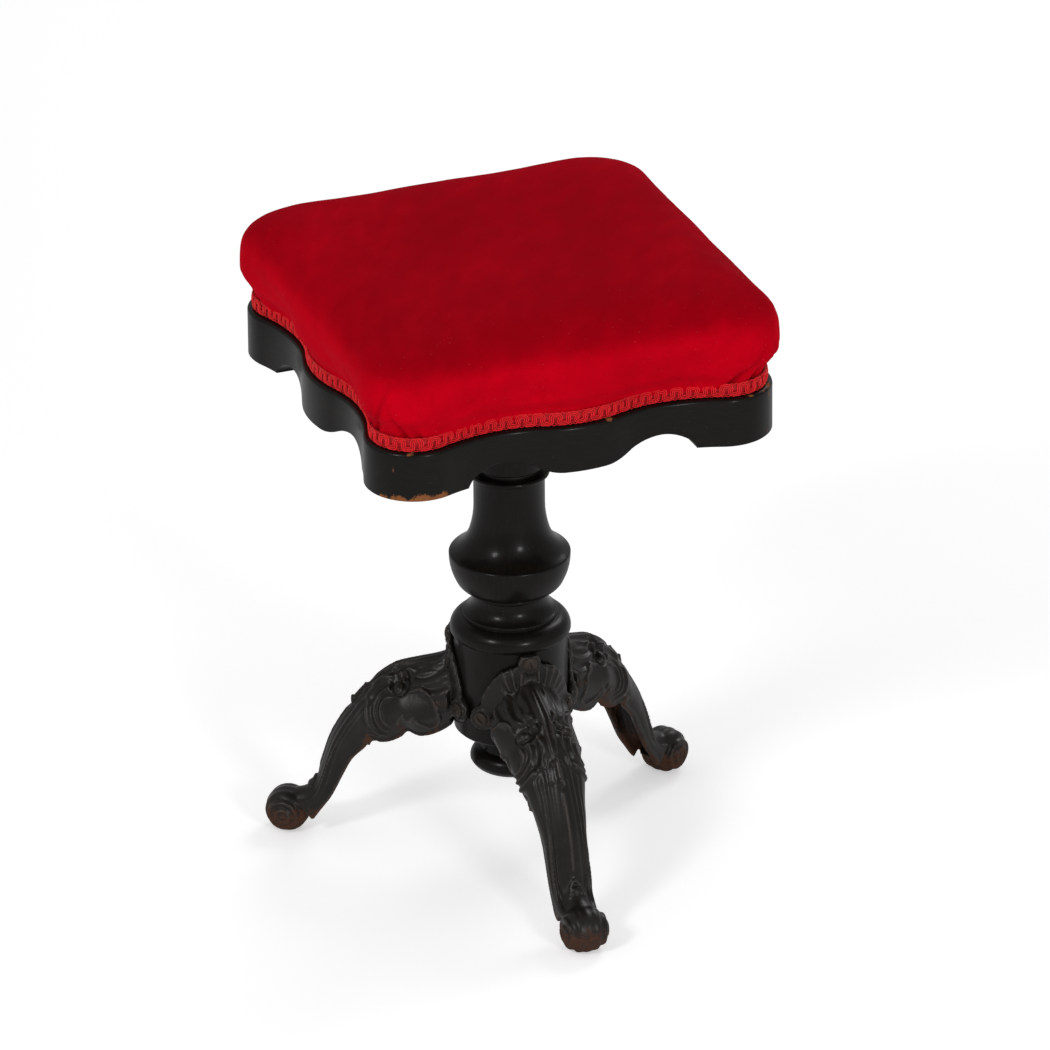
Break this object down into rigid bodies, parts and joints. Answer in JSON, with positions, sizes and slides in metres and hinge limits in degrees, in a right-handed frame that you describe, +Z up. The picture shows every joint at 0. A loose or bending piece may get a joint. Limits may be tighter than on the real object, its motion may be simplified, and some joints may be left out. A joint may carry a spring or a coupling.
{
  "type": "revolving piano stool",
  "caption": "Piano stool with a square velvet seat on a coarse screw that turns to change its height, a turned black column and cast-iron legs.",
  "frame": {"origin": "on the floor, under the column's axis", "axes": "+Z up along the screw; -X towards the first leg; the seat stands turned 33.6 degrees about +Z at rest"},
  "size_m": [0.4738, 0.4738, 0.5663],
  "materials": {
    "ebonised_wood": "ebonised and polished, satin gloss",
    "plain_wood": "bare, aged brown",
    "leg_iron": "worn dark brown-black paint",
    "screw_iron": "dark steel, greased",
    "rusty_screws": "dull, brown with rust",
    "crimson_velvet": "short silk pile with a soft sheen",
    "red_braid": "corded scroll gimp",
    "stuffing": "hair and wadding, hidden"
  },
  "bodies": {
    "base": {"column": "ebonised_wood", "column_drop": "ebonised_wood", "spindle_nut": "screw_iron", "leg_1": "leg_iron", "leg_2": "leg_iron", "leg_3": "leg_iron", "leg_1_upper_screw": "rusty_screws", "leg_1_ear_screws": "rusty_screws", "leg_2_upper_screw": "rusty_screws", "leg_2_ear_screws": "rusty_screws", "leg_3_upper_screw": "rusty_screws", "leg_3_ear_screws": "rusty_screws"},
    "lift": {"stop_washer": "screw_iron"},
    "seat": {"seat_hub": "ebonised_wood", "seat_rail_1": "ebonised_wood", "seat_rail_2": "ebonised_wood", "seat_rail_3": "ebonised_wood", "seat_rail_4": "ebonised_wood", "seat_board": "plain_wood", "corner_block_1": "plain_wood", "corner_block_2": "plain_wood", "corner_block_3": "plain_wood", "corner_block_4": "plain_wood", "spindle": "screw_iron", "stop_nut": "screw_iron", "spindle_plate": "screw_iron", "plate_screws": "rusty_screws", "block_screws": "rusty_screws", "velvet_cover": "crimson_velvet", "gimp_braid": "red_braid", "cushion_stuffing": "stuffing"}
  },
  "joints": [
    {"name": "seat_rise", "type": "slide", "parent": "base", "child": "lift", "axis": [0, 0, 1], "range_m": [0, 0.1]},
    {"name": "seat_turn", "type": "hinge", "parent": "lift", "child": "seat", "pos_m": [0, 0, 0.45], "axis": [0, 0, 1], "range_deg": [0, 4500]}
  ],
  "couplings": [
    {"joint": "seat_rise", "follows": "seat_turn", "m_per_rad": 0.0012732}
  ]
}
